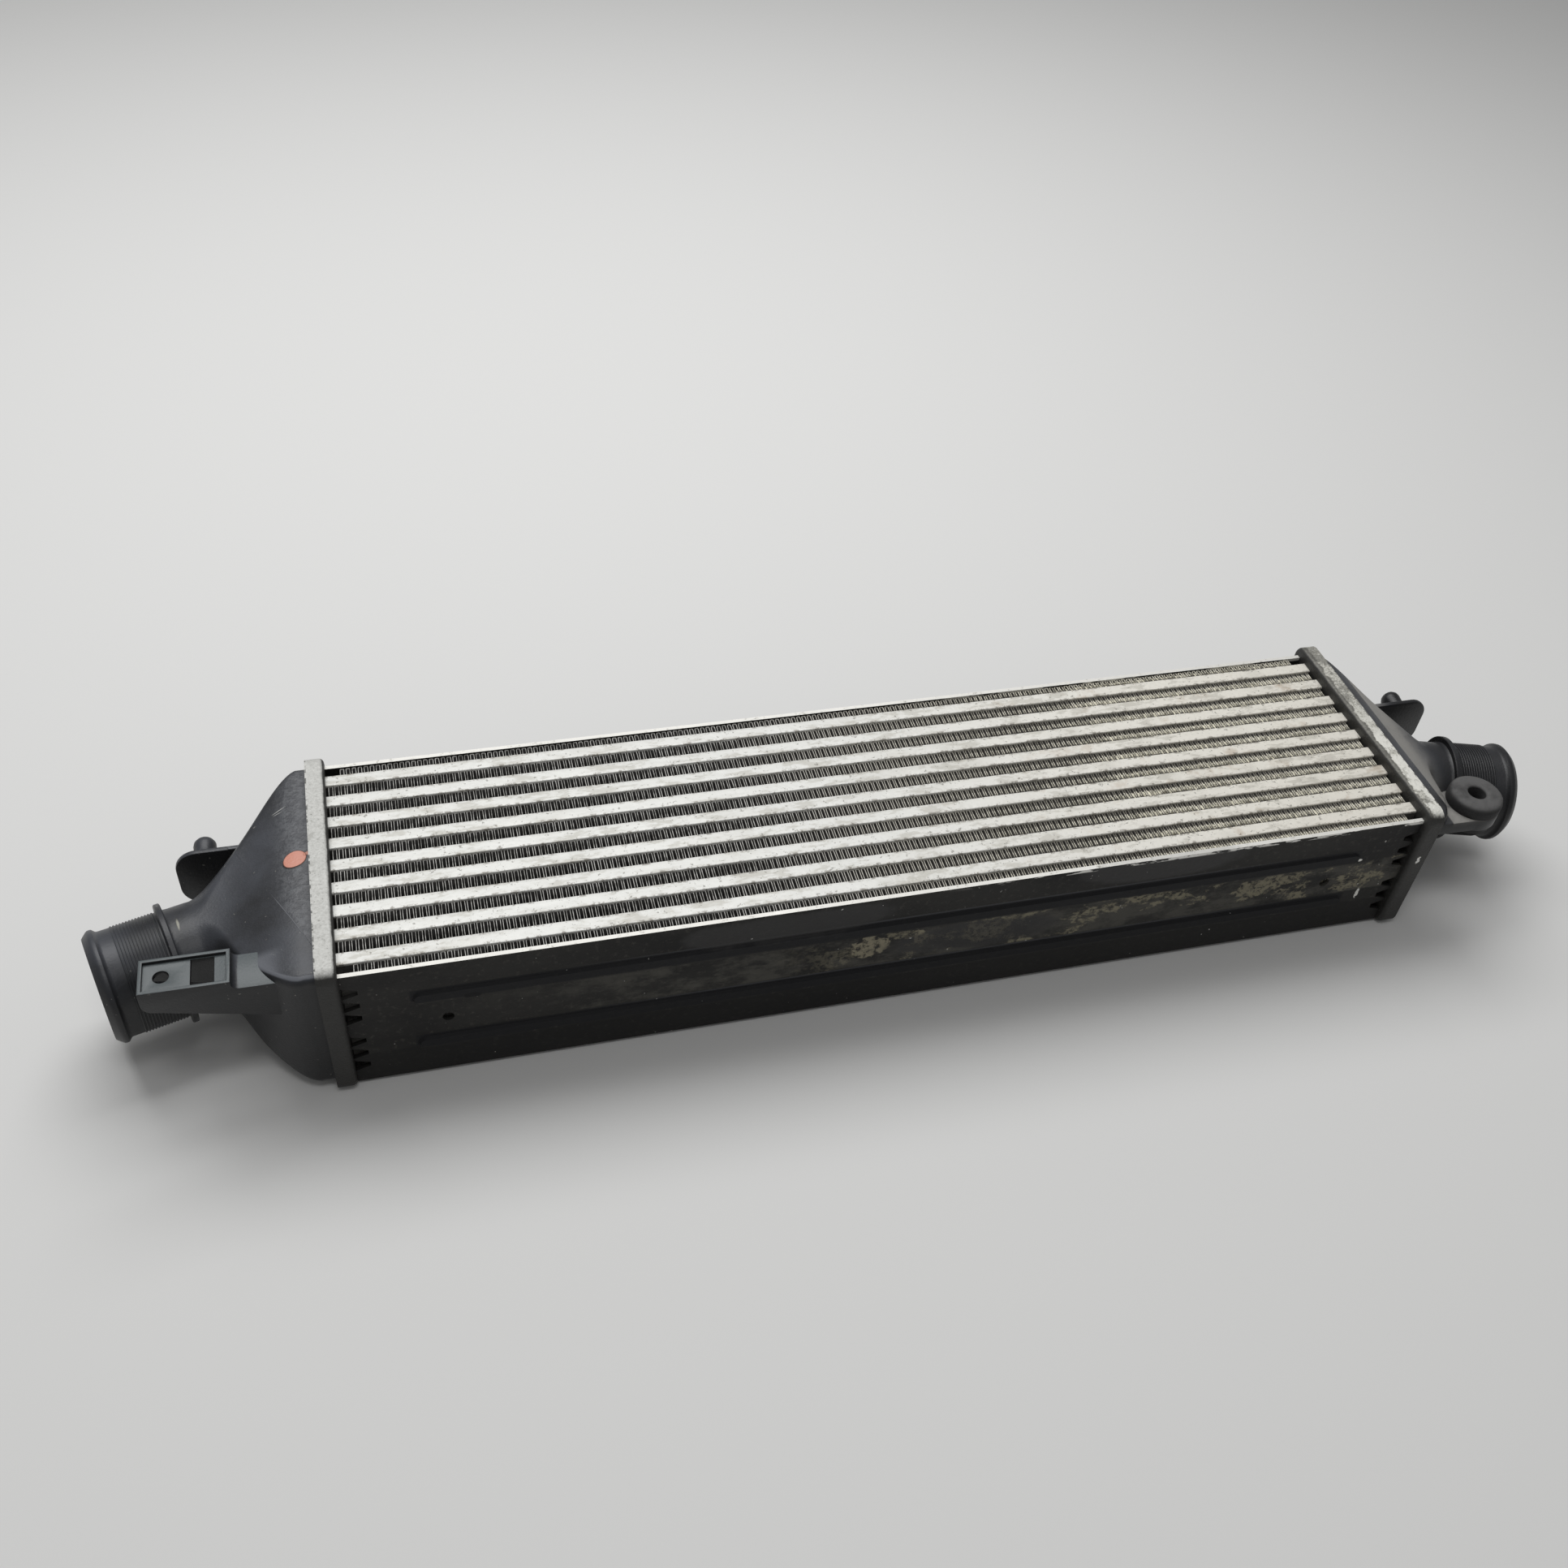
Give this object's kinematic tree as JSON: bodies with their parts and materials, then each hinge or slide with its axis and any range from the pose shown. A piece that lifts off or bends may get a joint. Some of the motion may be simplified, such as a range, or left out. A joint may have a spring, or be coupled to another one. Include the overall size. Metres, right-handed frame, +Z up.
{
  "type": "intercooler",
  "caption": "Flat charge air cooler: finned tube core between crimped header trays, with moulded end tanks, angled beaded hose spigots, pegs, a mounting arm and a bushed eye.",
  "frame": {"origin": "middle of the bounding box on the plane that the header trays stand on", "axes": "+X along the tubes towards the end with the rubber bush, +Y from the mounting arms towards the pegs, +Z up from the resting plane"},
  "size_m": [0.8312, 0.16, 0.093],
  "materials": {
    "core_aluminium": "matte brazed",
    "plate_aluminium": "grimy rolled sheet",
    "tray_aluminium": "pressed sheet, weathered",
    "tank_nylon": "moulded, glass-filled, faded",
    "seal_rubber": "smooth",
    "bush_rubber": "dusty"
  },
  "bodies": {
    "root": {"end_tank_left": "tank_nylon", "end_tank_right": "tank_nylon", "fin_1": "core_aluminium", "fin_10": "core_aluminium", "fin_2": "core_aluminium", "fin_3": "core_aluminium", "fin_4": "core_aluminium", "fin_5": "core_aluminium", "fin_6": "core_aluminium", "fin_7": "core_aluminium", "fin_8": "core_aluminium", "fin_9": "core_aluminium", "header_plate_left": "tray_aluminium", "header_plate_right": "tray_aluminium", "mounting_grommet": "bush_rubber", "side_plate_front": "plate_aluminium", "side_plate_rear": "plate_aluminium", "tank_seal_left": "seal_rubber", "tank_seal_right": "seal_rubber", "tube_1": "core_aluminium", "tube_2": "core_aluminium", "tube_3": "core_aluminium", "tube_4": "core_aluminium", "tube_5": "core_aluminium", "tube_6": "core_aluminium", "tube_7": "core_aluminium", "tube_8": "core_aluminium", "tube_9": "core_aluminium", "turbulator_1": "core_aluminium", "turbulator_2": "core_aluminium", "turbulator_3": "core_aluminium", "turbulator_4": "core_aluminium", "turbulator_5": "core_aluminium", "turbulator_6": "core_aluminium", "turbulator_7": "core_aluminium", "turbulator_8": "core_aluminium", "turbulator_9": "core_aluminium"}
  },
  "joints": []
}
